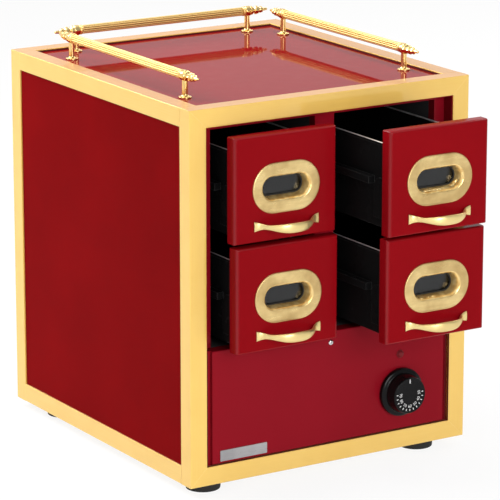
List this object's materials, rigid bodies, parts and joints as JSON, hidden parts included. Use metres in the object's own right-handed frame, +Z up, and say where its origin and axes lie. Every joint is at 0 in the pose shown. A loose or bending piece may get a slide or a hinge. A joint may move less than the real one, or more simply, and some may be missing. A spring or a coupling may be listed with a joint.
{
  "type": "nut warmer",
  "caption": "Countertop nut warmer with pull-out heated drawers behind windowed red fronts, a gold frame, a thermostat knob and a gallery rail on top.",
  "frame": {"origin": "middle of the box round the warmer with its drawers as pictured, on the plane that the feet stand on", "axes": "+X to the right seen from the front, +Y to the back, +Z up; the drawers open along -Y"},
  "size_m": [0.38, 0.5544, 0.4792],
  "materials": {
    "gold_frame": "satin gold anodised extrusion",
    "polished_gold": "polished and lacquered gold-coloured brass",
    "red_sheet": "gloss red enamel on sheet steel",
    "red_lacquer": "gloss red lacquer on fibreboard",
    "black_enamel": "black heat-resistant enamel",
    "tray_steel": "darkened steel sheet with a bare rim",
    "galvanised_sheet": "galvanised",
    "badge_aluminium": "brushed, bare",
    "black_plastic": "matt moulded",
    "knob_plastic": "fine-grained moulded with white figures",
    "red_lens": "clear red",
    "white_plastic": "matt moulded",
    "copper_tube": "bare",
    "screw_chrome": "plated",
    "element_steel": "satin",
    "foot_rubber": "matt",
    "window_glass": "clear, dark behind"
  },
  "bodies": {
    "cabinet": {"front_posts": "gold_frame", "front_rails": "gold_frame", "rear_posts": "gold_frame", "rear_rails": "gold_frame", "side_rails_top": "gold_frame", "side_rails_bottom": "gold_frame", "side_panel_left": "red_sheet", "side_panel_right": "red_sheet", "top_panel": "red_sheet", "back_panel": "red_sheet", "base_panel": "galvanised_sheet", "face_stiles": "red_sheet", "face_header": "red_sheet", "mullion": "red_sheet", "liner_sides": "black_enamel", "liner_top": "black_enamel", "liner_back": "black_enamel", "chamber_floor": "black_enamel", "centre_partition": "black_enamel", "upper_runners": "black_enamel", "lower_runners": "black_enamel", "control_panel": "red_sheet", "badge_plate": "badge_aluminium", "thermostat_body": "black_plastic", "sensor_capillary": "copper_tube", "pilot_lamp": "black_plastic", "pilot_lens": "red_lens", "terminal_block": "white_plastic", "cable_gland": "black_plastic", "panel_screws": "screw_chrome", "heating_element": "element_steel", "element_clips": "galvanised_sheet", "feet": "foot_rubber", "foot_bolts": "screw_chrome", "gallery_side_rods": "polished_gold", "gallery_back_rod": "polished_gold", "gallery_posts": "polished_gold", "gallery_finials": "polished_gold"},
    "thermostat_knob": {"knob": "knob_plastic", "thermostat_spindle": "element_steel"},
    "drawer_upper_left": {"drawer_front_upper_left": "red_lacquer", "drawer_bezel_upper_left": "polished_gold", "drawer_glass_upper_left": "window_glass", "drawer_handle_upper_left": "polished_gold", "drawer_tray_upper_left": "tray_steel"},
    "drawer_upper_right": {"drawer_front_upper_right": "red_lacquer", "drawer_bezel_upper_right": "polished_gold", "drawer_glass_upper_right": "window_glass", "drawer_handle_upper_right": "polished_gold", "drawer_tray_upper_right": "tray_steel"},
    "drawer_lower_left": {"drawer_front_lower_left": "red_lacquer", "drawer_bezel_lower_left": "polished_gold", "drawer_glass_lower_left": "window_glass", "drawer_handle_lower_left": "polished_gold", "drawer_tray_lower_left": "tray_steel"},
    "drawer_lower_right": {"drawer_front_lower_right": "red_lacquer", "drawer_bezel_lower_right": "polished_gold", "drawer_glass_lower_right": "window_glass", "drawer_handle_lower_right": "polished_gold", "drawer_tray_lower_right": "tray_steel"}
  },
  "joints": [
    {"name": "upper_left_drawer_slide", "type": "slide", "parent": "cabinet", "child": "drawer_upper_left", "axis": [0, -1, 0], "range_m": [-0.0336, 0.2164]},
    {"name": "upper_right_drawer_slide", "type": "slide", "parent": "cabinet", "child": "drawer_upper_right", "axis": [0, -1, 0], "range_m": [-0.096, 0.154]},
    {"name": "lower_left_drawer_slide", "type": "slide", "parent": "cabinet", "child": "drawer_lower_left", "axis": [0, -1, 0], "range_m": [-0.0384, 0.2116]},
    {"name": "lower_right_drawer_slide", "type": "slide", "parent": "cabinet", "child": "drawer_lower_right", "axis": [0, -1, 0], "range_m": [-0.0926, 0.1574]},
    {"name": "thermostat_turn", "type": "hinge", "parent": "cabinet", "child": "thermostat_knob", "pos_m": [0.0975, -0.15775, 0.08], "axis": [0, 1, 0], "range_deg": [0, 270]}
  ]
}
